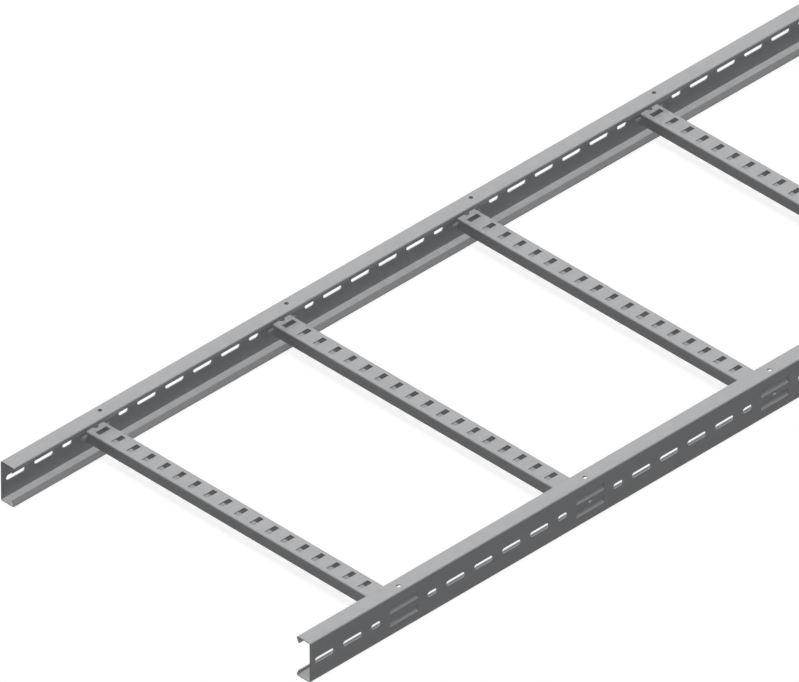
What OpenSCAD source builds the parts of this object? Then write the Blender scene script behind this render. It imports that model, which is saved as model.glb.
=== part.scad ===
// Cable ladder section: two perforated, lipped C-shaped side rails of cold-bent
// galvanised sheet, joined by perforated C-shaped rungs that open downwards.
// X runs across the ladder, Y along it and Z up. The origin is in the middle of
// the ladder's length and width, on the underside of the bottom flanges.

/* [Ladder] */
// Stock length of the section, along Y
ladder_length = 3000; // [900:300:6000]
// Clear width between the webs of the two side rails
clear_width = 500; // [100:50:900]
// Distance from one rung to the next
rung_spacing = 300; // [290:5:400]
// Distance from the ladder's end to the middle of its first rung
end_to_rung = 150; // [148:1:200]
// Thickness of the galvanised sheet of rails and rungs
sheet = 1.2; // [1:0.1:2]
// Inside radius of every sheet bend
bend_inside = 0.8; // [0.3:0.1:2]

/* [Side rails] */
// Height of a side rail over its flanges
rail_height = 55; // [50:1:100]
// Width of a rail's flanges, from the back of the web
flange_width = 21.7; // [18:0.1:30]
// Height that each lip takes up, from the outside of its flange
lip_height = 8.9; // [6:0.1:11]
// Lean of each lip back towards the web, from the upright
lip_lean = 24; // [0:1:35]
// Diameter of the hole in the top flange above each rung
cover_hole = 5.5; // [4:0.1:7]
// Distance of that hole from the back of the web
cover_hole_in = 9; // [7:0.5:12]

/* [Web slots] */
// Height of the slots in a web
slot_height = 7; // [5:0.5:10]
// Distance of the slot row below the middle of the web's height
slot_drop = 0.5; // [0:0.1:2]
// Length of a long slot
long_slot = 30; // [20:1:34]
// Length of the short slot on each side of a rung
short_slot = 15; // [10:1:20]
// Distance from a rung's middle to the middle of its short slots
short_slot_at = 45; // [42:0.5:50]
// Distance from a rung's middle to the middle of its near long slots
near_slot_at = 82.5; // [78:0.5:86]
// Distance from a rung's middle to the middle of its far long slots
far_slot_at = 127.5; // [122:0.5:128]

/* [Pressed joints] */
// Length of the two beads pressed into the web at each rung
bead_length = 45; // [36:1:60]
// Height of one bead
bead_height = 11; // [8:0.5:12]
// Depth that a bead is pressed in
bead_depth = 1.4; // [0.6:0.1:1.8]
// Distance between the middle lines of the two beads
bead_pitch = 18; // [16:0.5:20]
// Diameter of the round press point between the beads
press_point = 6.5; // [4:0.5:7]
// Depth of that press point
press_depth = 1.6; // [0.6:0.1:2]

/* [Rungs] */
// Width of a rung, along the ladder
rung_width = 28.5; // [24:0.5:42]
// Height of a rung
rung_height = 16.6; // [14:0.1:19]
// Width of the two return lips under a rung
rung_lip = 8.5; // [5:0.5:9]
// Distance from one rung slot to the next
rung_slot_pitch = 25; // [20:1:50]
// Length of a rung slot, along the ladder
rung_slot_length = 17; // [12:0.5:20]
// Width of a rung slot, across the ladder
rung_slot_width = 7; // [5:0.5:9]
// Clearance of a rung's coped ends around the forms pressed into the web
cope_clearance = 0.4; // [0.2:0.1:1]

/* [Hidden] */
$fn = 48;
overcut = 1;
bend_outside = bend_inside + sheet;
overall_width = clear_width + 2 * sheet;
joint_line = rail_height / 2;
slot_line = joint_line - slot_drop;
lower_bead = joint_line - bead_pitch / 2;
upper_bead = joint_line + bead_pitch / 2;
rung_top = joint_line + sheet;
cope_depth = bead_depth + cope_clearance;
cope_top = lower_bead + bead_height / 2 + cope_clearance;
rung_count = floor((ladder_length - 2 * end_to_rung) / rung_spacing) + 1;
rung_slot_count = floor(clear_width / rung_slot_pitch);

function rung_y(i) = end_to_rung + (i - 1) * rung_spacing - ladder_length / 2;
function rung_name(i) = str("rung_", i < 10 ? "0" : "", i);
// Radius of the circle whose arc rises by depth over a chord of this width
function arc_radius(chord, depth) = (chord * chord / 4 + depth * depth) / (2 * depth);

// Quarter-like ring sector of one sheet bend, turning left from the heading +X
module bend_sector(turn) {
    reach = 2 * bend_outside;
    intersection() {
        difference() {
            circle(r = bend_outside);
            circle(r = bend_inside);
        }
        polygon([
            [0, 0],
            [0, -reach],
            reach * [sin(turn / 2), -cos(turn / 2)],
            reach * [sin(turn), -cos(turn)]
        ]);
    }
}

// Sheet seen on its edge: straight legs with left turns between them. The
// sheet's outer face starts at the origin and heads along +X.
module bent_sheet(legs, turns, i = 0) {
    square([legs[i], sheet]);
    if (i < len(turns)) {
        translate([legs[i], bend_outside]) {
            bend_sector(turns[i]);
            rotate(turns[i])
                translate([0, -bend_outside])
                    bent_sheet(legs, turns, i + 1);
        }
    }
}

// The web of a side rail, with the flange and the lip at its lower end
module rail_limb() {
    web = rail_height - 2 * bend_outside;
    flange = flange_width - 2 * bend_outside;
    lip = (lip_height - bend_outside * (1 + sin(lip_lean))) / cos(lip_lean);
    translate([0, rail_height - bend_outside])
        rotate(-90)
            bent_sheet([web, flange, lip], [90, 90 + lip_lean]);
}

// Section of a side rail: two limbs that share one web
module rail_section() {
    rail_limb();
    translate([0, rail_height])
        mirror([0, 1])
            rail_limb();
}

// Slot with round ends, along X, cut through anything within depth below z = 0
module slot_cut(length, width, depth) {
    straight = length - width;
    translate([0, 0, -depth])
        linear_extrude(depth) {
            square([straight, width], center = true);
            for (side = [-1, 1])
                translate([side * straight / 2, 0])
                    circle(d = width);
        }
}

// One bead of a web, standing out along +X from the plane x = 0
module bead_form() {
    radius = arc_radius(bead_height, bead_depth);
    half = bead_length / 2;
    reach = 2 * bead_depth;
    intersection() {
        translate([bead_depth - radius, 0, 0])
            rotate([90, 0, 0])
                cylinder(r = radius, h = bead_length, center = true);
        translate([0, 0, -bead_height])
            linear_extrude(2 * bead_height)
                polygon([
                    [0, -half],
                    [reach, reach - half],
                    [reach, half - reach],
                    [0, half]
                ]);
    }
}

// Round press point of a web, standing out along +X from the plane x = 0
module press_form() {
    radius = arc_radius(press_point, press_depth);
    intersection() {
        translate([press_depth - radius, 0, 0])
            sphere(r = radius);
        translate([0, -press_point, -press_point])
            cube(2 * press_point);
    }
}

// The forms pressed into a web at one rung, at the height they have in the web
module joint_forms() {
    for (height = [lower_bead, upper_bead])
        translate([0, 0, height])
            bead_form();
    translate([0, 0, joint_line])
        press_form();
}

module web_slots() {
    for (side = [-1, 1]) {
        translate([0, side * short_slot_at, 0])
            web_slot(short_slot);
        for (at = [near_slot_at, far_slot_at])
            translate([0, side * at, 0])
                web_slot(long_slot);
    }
}

module web_slot(length) {
    translate([sheet + overcut, 0, slot_line])
        rotate([90, 0, 90])
            slot_cut(length, slot_height, sheet + 2 * overcut);
}

module cover_hole_cut() {
    translate([cover_hole_in, 0, rail_height - sheet - overcut])
        cylinder(d = cover_hole, h = sheet + 2 * overcut);
}

// A side rail with the back of its web on x = 0 and its lips towards +X
module side_rail() {
    difference() {
        union() {
            translate([0, ladder_length / 2, 0])
                rotate([90, 0, 0])
                    linear_extrude(ladder_length)
                        rail_section();
            for (i = [1:rung_count])
                translate([sheet, rung_y(i), 0])
                    joint_forms();
        }
        for (i = [1:rung_count])
            translate([0, rung_y(i), 0]) {
                joint_forms();
                web_slots();
                cover_hole_cut();
            }
    }
}

module side_rail_left() {
    color("#9b9da0")
        translate([-overall_width / 2, 0, 0])
            side_rail();
}

module side_rail_right() {
    color("#9b9da0")
        translate([overall_width / 2, 0, 0])
            mirror([1, 0, 0])
                side_rail();
}

// Section of a rung, from one return lip round to the other: Y to the right, Z up
module rung_section() {
    lip = rung_lip - bend_outside;
    wall = rung_height - 2 * bend_outside;
    top = rung_width - 2 * bend_outside;
    translate([rung_width / 2 - rung_lip, rung_top - rung_height])
        bent_sheet([lip, wall, top, wall, lip], [90, 90, 90, 90]);
}

// Room for the lower bead and the press point at a rung's end, on the web at x = 0
module end_cope() {
    translate([-overcut, -rung_width, rung_top - 2 * rung_height])
        cube([cope_depth + overcut, 2 * rung_width, cope_top - rung_top + 2 * rung_height]);
    translate([0, 0, rung_top - sheet - overcut])
        cylinder(d = press_point + 2 * cope_clearance, h = sheet + 2 * overcut);
}

module rung_slots() {
    first = -(rung_slot_count - 1) / 2 * rung_slot_pitch;
    for (i = [0:rung_slot_count - 1])
        translate([first + i * rung_slot_pitch, 0, rung_top - sheet / 2])
            cube([rung_slot_width, rung_slot_length, sheet + 2 * overcut], center = true);
}

module rung(i) {
    color("#a6a8ab")
        translate([0, rung_y(i), 0])
            difference() {
                translate([-clear_width / 2, 0, 0])
                    rotate([90, 0, 90])
                        linear_extrude(clear_width)
                            rung_section();
                rung_slots();
                for (side = [0, 1])
                    mirror([side, 0, 0])
                        translate([-clear_width / 2, 0, 0])
                            end_cope();
            }
}

side_rail_left();
side_rail_right();
for (i = [1:rung_count]) {
    rung(i);
}
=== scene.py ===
"""Looks of a straight cable ladder section of galvanised steel sheet.

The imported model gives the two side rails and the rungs. This script gives them their
zinc finish, lays them on a pale studio floor and looks at them along an isometric line.
"""

from __future__ import annotations

import logging
import math
from dataclasses import dataclass
from enum import Enum
from typing import Any

import bpy
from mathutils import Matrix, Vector


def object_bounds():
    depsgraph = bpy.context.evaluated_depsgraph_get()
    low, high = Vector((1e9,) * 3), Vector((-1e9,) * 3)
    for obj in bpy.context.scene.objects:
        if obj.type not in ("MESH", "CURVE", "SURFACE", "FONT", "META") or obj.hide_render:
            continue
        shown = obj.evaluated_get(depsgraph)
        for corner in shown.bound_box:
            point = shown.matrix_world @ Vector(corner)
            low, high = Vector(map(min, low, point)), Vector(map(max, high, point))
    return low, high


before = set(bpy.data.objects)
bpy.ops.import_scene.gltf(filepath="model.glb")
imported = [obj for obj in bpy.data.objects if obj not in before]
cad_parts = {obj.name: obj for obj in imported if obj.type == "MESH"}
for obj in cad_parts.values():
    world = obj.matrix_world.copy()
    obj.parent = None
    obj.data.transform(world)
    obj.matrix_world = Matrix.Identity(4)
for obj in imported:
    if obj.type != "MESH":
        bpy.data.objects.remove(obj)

CAD_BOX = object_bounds()
MM = 0.001

# Sockets of the mix node by number, because it gives several of them the same name
MIX_SHARE, MIX_FIRST_GREY, MIX_SECOND_GREY = 0, 2, 3
MIX_FIRST_COLOUR, MIX_SECOND_COLOUR = 6, 7
MIXED_GREY, MIXED_COLOUR = 0, 2

logging.basicConfig(level=logging.INFO, format="%(message)s")
log = logging.getLogger("cable_ladder")


class Rolling(Enum):
    """Direction in which the strip of a piece was rolled, as its object axis."""

    ALONG_THE_LADDER = 1
    ACROSS_THE_LADDER = 0


def linear(colour: str) -> tuple[float, float, float, float]:
    """Turns an sRGB hex colour into linear RGBA.

    Args:
        colour: Six hex digits, with or without a leading hash.

    Returns:
        The colour as the shaders take it, with alpha 1.
    """
    digits = colour.lstrip("#")
    parts = [int(digits[i:i + 2], 16) / 255 for i in (0, 2, 4)]
    red, green, blue = (
        part / 12.92 if part <= 0.04045 else ((part + 0.055) / 1.055) ** 2.4
        for part in parts
    )
    return red, green, blue, 1.0


def texture_scale(feature_mm: float) -> float:
    """Gives the texture scale that draws a feature at its size.

    Args:
        feature_mm: The feature's size.

    Returns:
        How many such features there are in a metre.
    """
    return 1 / (feature_mm * MM)


def add_node(
    tree: bpy.types.NodeTree,
    kind: str,
    settings: dict[str, Any] | None = None,
    values: dict[str | int, Any] | None = None,
    links: dict[str | int, bpy.types.NodeSocket] | None = None,
) -> bpy.types.Node:
    """Adds one node with its settings, its plain input values and its input links.

    Args:
        tree: The node tree that gets the node.
        kind: The node's type name.
        settings: Node attributes to set first, such as an operation.
        values: Input values by socket name or index.
        links: Output sockets to join, by input name or index.

    Returns:
        The new node.
    """
    node = tree.nodes.new(kind)
    for name, value in (settings or {}).items():
        setattr(node, name, value)
    for name, value in (values or {}).items():
        node.inputs[name].default_value = value
    for name, socket in (links or {}).items():
        tree.links.new(socket, node.inputs[name])
    return node


def empty_tree(owner: bpy.types.Material | bpy.types.World) -> bpy.types.NodeTree:
    """Gives a material or world an empty node tree.

    Args:
        owner: The material or world.

    Returns:
        Its node tree.
    """
    owner.use_nodes = True
    owner.node_tree.nodes.clear()
    return owner.node_tree


def seen_directly(tree: bpy.types.NodeTree) -> bpy.types.NodeSocket:
    """Tells camera, glossy and transmission rays from those that light a surface.

    Args:
        tree: The tree that gets the nodes.

    Returns:
        A socket that is 1 for rays that show a background and 0 for the others.
    """
    path = add_node(tree, "ShaderNodeLightPath")
    seen = path.outputs["Is Camera Ray"]
    for kind in ("Is Glossy Ray", "Is Transmission Ray"):
        seen = add_node(
            tree, "ShaderNodeMath", {"operation": "MAXIMUM"},
            links={0: seen, 1: path.outputs[kind]},
        ).outputs["Value"]
    return seen


def mix_greys(
    tree: bpy.types.NodeTree,
    first: bpy.types.NodeSocket,
    second: bpy.types.NodeSocket,
    share: float,
) -> bpy.types.NodeSocket:
    """Mixes two grey values in the same shares everywhere.

    Args:
        tree: The tree that gets the node.
        first: The value that is alone where the share is 0.
        second: The value that is alone where the share is 1.
        share: The second value's share.

    Returns:
        The mixed value.
    """
    return add_node(
        tree, "ShaderNodeMix",
        {"data_type": "FLOAT"},
        {MIX_SHARE: share},
        {MIX_FIRST_GREY: first, MIX_SECOND_GREY: second},
    ).outputs[MIXED_GREY]


def mix_colours(
    tree: bpy.types.NodeTree, first: str, second: str, share: bpy.types.NodeSocket
) -> bpy.types.NodeSocket:
    """Mixes two colours in a share that a socket gives.

    Args:
        tree: The tree that gets the node.
        first: The sRGB hex colour that is alone where the share is 0.
        second: The sRGB hex colour that is alone where the share is 1.
        share: The second colour's share.

    Returns:
        The mixed colour.
    """
    return add_node(
        tree, "ShaderNodeMix",
        {"data_type": "RGBA"},
        {MIX_FIRST_COLOUR: linear(first), MIX_SECOND_COLOUR: linear(second)},
        {MIX_SHARE: share},
    ).outputs[MIXED_COLOUR]


@dataclass(frozen=True)
class GalvanisedSheet:
    """Strip galvanised in a zinc bath and gone matt: dull grey with a faint spangle.

    The zinc's crystals are each a touch lighter or darker, thin lines follow the way the
    strip was rolled, and cloudy patches a hand wide are where the zinc has dulled.
    """

    name: str
    rolling: Rolling
    dark: str = "#A9AAAD"
    light: str = "#B9BABC"
    metallic: float = 0.12
    roughness: float = 0.58
    roughness_spread: float = 0.07
    specular_level: float = 0.3
    spangle_mm: float = 8.0
    spangle_share: float = 0.45
    cloud_mm: float = 90.0
    cloud_detail: float = 4.0
    cloud_raggedness: float = 0.55
    line_mm: float = 1.5
    line_length_mm: float = 250.0
    line_detail: float = 2.0
    line_share: float = 0.3
    relief_mm: float = 0.012
    relief_strength: float = 0.5

    def build(self) -> bpy.types.Material:
        """Builds the finish.

        Returns:
            The node material.
        """
        material = bpy.data.materials.new(self.name)
        tree = empty_tree(material)
        place = add_node(tree, "ShaderNodeTexCoord").outputs["Object"]
        spangle = self.spangle(tree, place)
        tone = mix_greys(tree, self.clouds(tree, place), spangle, self.spangle_share)
        tone = mix_greys(tree, tone, self.rolling_lines(tree, place), self.line_share)
        colour = mix_colours(tree, self.dark, self.light, tone)
        roughness = add_node(
            tree, "ShaderNodeMapRange",
            values={
                "To Min": self.roughness - self.roughness_spread,
                "To Max": self.roughness + self.roughness_spread,
            },
            links={"Value": spangle},
        ).outputs["Result"]
        relief = add_node(
            tree, "ShaderNodeBump",
            values={"Strength": self.relief_strength, "Distance": self.relief_mm * MM},
            links={"Height": tone},
        ).outputs["Normal"]
        shader = add_node(
            tree, "ShaderNodeBsdfPrincipled",
            values={
                "Metallic": self.metallic,
                "Specular IOR Level": self.specular_level,
            },
            links={"Base Color": colour, "Roughness": roughness, "Normal": relief},
        )
        add_node(
            tree, "ShaderNodeOutputMaterial", links={"Surface": shader.outputs["BSDF"]}
        )
        return material

    def spangle(
        self, tree: bpy.types.NodeTree, place: bpy.types.NodeSocket
    ) -> bpy.types.NodeSocket:
        """Adds the zinc crystals, drawn coarser than the real ones so that they show.

        Args:
            tree: The material's node tree.
            place: The point on the object.

        Returns:
            A grey value for each crystal, from 0 to 1.
        """
        cells = add_node(
            tree, "ShaderNodeTexVoronoi",
            {"feature": "F1"},
            {"Scale": texture_scale(self.spangle_mm)},
            {"Vector": place},
        )
        return add_node(
            tree, "ShaderNodeSeparateColor", links={"Color": cells.outputs["Color"]}
        ).outputs["Red"]

    def clouds(
        self, tree: bpy.types.NodeTree, place: bpy.types.NodeSocket
    ) -> bpy.types.NodeSocket:
        """Adds the wide, soft patches of duller zinc.

        Args:
            tree: The material's node tree.
            place: The point on the object.

        Returns:
            A smooth grey value, mostly near the middle.
        """
        return add_node(
            tree, "ShaderNodeTexNoise",
            values={
                "Scale": texture_scale(self.cloud_mm),
                "Detail": self.cloud_detail,
                "Roughness": self.cloud_raggedness,
            },
            links={"Vector": place},
        ).outputs["Fac"]

    def rolling_lines(
        self, tree: bpy.types.NodeTree, place: bpy.types.NodeSocket
    ) -> bpy.types.NodeSocket:
        """Adds the thin lines that follow the rolled strip.

        Args:
            tree: The material's node tree.
            place: The point on the object.

        Returns:
            A grey value, drawn out along the strip.
        """
        scale = [texture_scale(self.line_mm)] * 3
        scale[self.rolling.value] = texture_scale(self.line_length_mm)
        stretched = add_node(
            tree, "ShaderNodeMapping", values={"Scale": scale}, links={"Vector": place}
        ).outputs["Vector"]
        return add_node(
            tree, "ShaderNodeTexNoise",
            values={"Scale": 1.0, "Detail": self.line_detail},
            links={"Vector": stretched},
        ).outputs["Fac"]


@dataclass(frozen=True)
class StudioPaper:
    """Matt white backdrop paper: it shows white and keeps the ladder's soft shadow."""

    name: str = "studio_paper"
    shown: str = "#E7E7E7"
    # Darker where it only throws light back, so that it doesn't fill the ladder's shade
    bounced: str = "#484848"
    glow: float = 0.287

    def build(self) -> bpy.types.Material:
        """Builds the paper.

        Returns:
            The node material.
        """
        material = bpy.data.materials.new(self.name)
        tree = empty_tree(material)
        seen = seen_directly(tree)
        colour = mix_colours(tree, self.bounced, self.shown, seen)
        matt = add_node(tree, "ShaderNodeBsdfDiffuse", links={"Color": colour})
        strength = add_node(
            tree, "ShaderNodeMath", {"operation": "MULTIPLY"}, {1: self.glow}, {0: seen}
        ).outputs["Value"]
        glow = add_node(tree, "ShaderNodeEmission", links={"Strength": strength})
        both = add_node(
            tree, "ShaderNodeAddShader",
            links={0: matt.outputs["BSDF"], 1: glow.outputs["Emission"]},
        )
        add_node(
            tree, "ShaderNodeOutputMaterial", links={"Surface": both.outputs["Shader"]}
        )
        return material


@dataclass(frozen=True)
class Studio:
    """Floor, lamps and world round the ladder."""

    floor_side: float = 400.0
    # Light on a level face, as a share of what shows a colour as it is written
    overhead: float = 0.785
    surround: float = 0.11
    # Share of that light that casts a shadow; the rest also fills the open channels
    shadow_share: float = 0.14
    softness_deg: float = 20.0
    sky: str = "#FFFFFF"

    def build(self, underside: float) -> None:
        """Lays the floor, hangs the lamps and lights the world.

        Args:
            underside: Height of the surface that the ladder lies on.
        """
        self.lay_floor(underside)
        shading = self.overhead * self.shadow_share
        filling = self.overhead * (1 - self.shadow_share)
        self.hang_lamp("key_lamp", shading, casts_shadow=True)
        self.hang_lamp("fill_lamp", filling, casts_shadow=False)
        self.light_world()

    def lay_floor(self, height: float) -> None:
        """Lays a wide sheet of backdrop paper.

        Args:
            height: Height of its upper face.
        """
        half = self.floor_side / 2
        corners = [(-half, -half), (half, -half), (half, half), (-half, half)]
        mesh = bpy.data.meshes.new("studio_floor")
        mesh.from_pydata([(x, y, height) for x, y in corners], [], [(0, 1, 2, 3)])
        mesh.materials.append(StudioPaper().build())
        floor = bpy.data.objects.new("studio_floor", mesh)
        bpy.context.scene.collection.objects.link(floor)

    def hang_lamp(self, name: str, strength: float, casts_shadow: bool) -> None:
        """Hangs a wide, soft lamp straight above.

        Args:
            name: The lamp's name.
            strength: Its light on a level face.
            casts_shadow: Whether the ladder shades what is under it.
        """
        lamp = bpy.data.lights.new(name, "SUN")
        # A sun of strength pi lights a level face as brightly as its colour says
        lamp.energy = strength * math.pi
        lamp.angle = math.radians(self.softness_deg)
        lamp.use_shadow = casts_shadow
        bpy.context.scene.collection.objects.link(bpy.data.objects.new(name, lamp))

    def light_world(self) -> None:
        """Makes the world white to look at and a soft grey to be lit by."""
        world = bpy.data.worlds.new("studio_world")
        bpy.context.scene.world = world
        tree = empty_tree(world)
        strength = add_node(
            tree, "ShaderNodeMapRange",
            values={"To Min": self.surround, "To Max": 1.0},
            links={"Value": seen_directly(tree)},
        ).outputs["Result"]
        back = add_node(
            tree, "ShaderNodeBackground",
            values={"Color": linear(self.sky)}, links={"Strength": strength},
        )
        add_node(
            tree, "ShaderNodeOutputWorld", links={"Surface": back.outputs["Background"]}
        )


@dataclass(frozen=True)
class LongLensCamera:
    """Camera far away behind a very long lens, so that the view is all but isometric."""

    azimuth_deg: float = 45.145
    elevation_deg: float = 35.369
    lens_mm: float = 1450.0
    sensor_mm: float = 36.0
    view_width: float = 0.9183
    # Point in the middle of the view, in the ladder's frame
    target: tuple[float, float, float] = (-0.1249, -0.9832, 0.0275)
    nearest: float = 1.0
    # How far it sees, in multiples of its distance from the target
    reach: float = 6.0

    def build(self) -> None:
        """Sets the camera up and makes it the scene's camera."""
        azimuth = math.radians(self.azimuth_deg)
        elevation = math.radians(self.elevation_deg)
        back = Vector((
            math.sin(azimuth) * math.cos(elevation),
            -math.cos(azimuth) * math.cos(elevation),
            math.sin(elevation),
        ))
        distance = self.view_width * self.lens_mm / self.sensor_mm
        data = bpy.data.cameras.new("camera")
        data.lens, data.sensor_width = self.lens_mm, self.sensor_mm
        data.clip_start, data.clip_end = self.nearest, self.reach * distance
        camera = bpy.data.objects.new("camera", data)
        camera.location = Vector(self.target) + back * distance
        camera.rotation_mode = "QUATERNION"
        camera.rotation_quaternion = (-back).to_track_quat("-Z", "Y")
        bpy.context.scene.collection.objects.link(camera)
        bpy.context.scene.camera = camera


@dataclass(frozen=True)
class Dressing:
    """One kind of CAD piece of the ladder and the finish that it gets."""

    prefix: str
    finish: GalvanisedSheet

    def apply(self) -> None:
        """Dresses every node of the frame whose name starts with the prefix."""
        material = self.finish.build()
        for name, node in sorted(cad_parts.items()):
            if not name.startswith(self.prefix):
                continue
            if not node.material_slots:
                node.data.materials.append(material)
            for slot in node.material_slots:
                slot.material = material
            log.info("%s: %s", name, self.finish.name)


@dataclass(frozen=True)
class CableLadder:
    """The ladder's two kinds of piece, each with its finish."""

    dressings: tuple[Dressing, ...] = (
        Dressing(
            "side_rail",
            GalvanisedSheet("galvanised_rail_sheet", Rolling.ALONG_THE_LADDER),
        ),
        Dressing(
            "rung",
            GalvanisedSheet("galvanised_rung_sheet", Rolling.ACROSS_THE_LADDER),
        ),
    )

    def build(self) -> None:
        """Dresses the rails and the rungs."""
        for dressing in self.dressings:
            dressing.apply()


def main() -> None:
    """Builds the scene in order: camera, studio and ladder."""
    bpy.context.scene.view_settings.view_transform = "Standard"
    LongLensCamera().build()
    Studio().build(CAD_BOX[0].z)
    CableLadder().build()


if __name__ == "__main__":
    main()
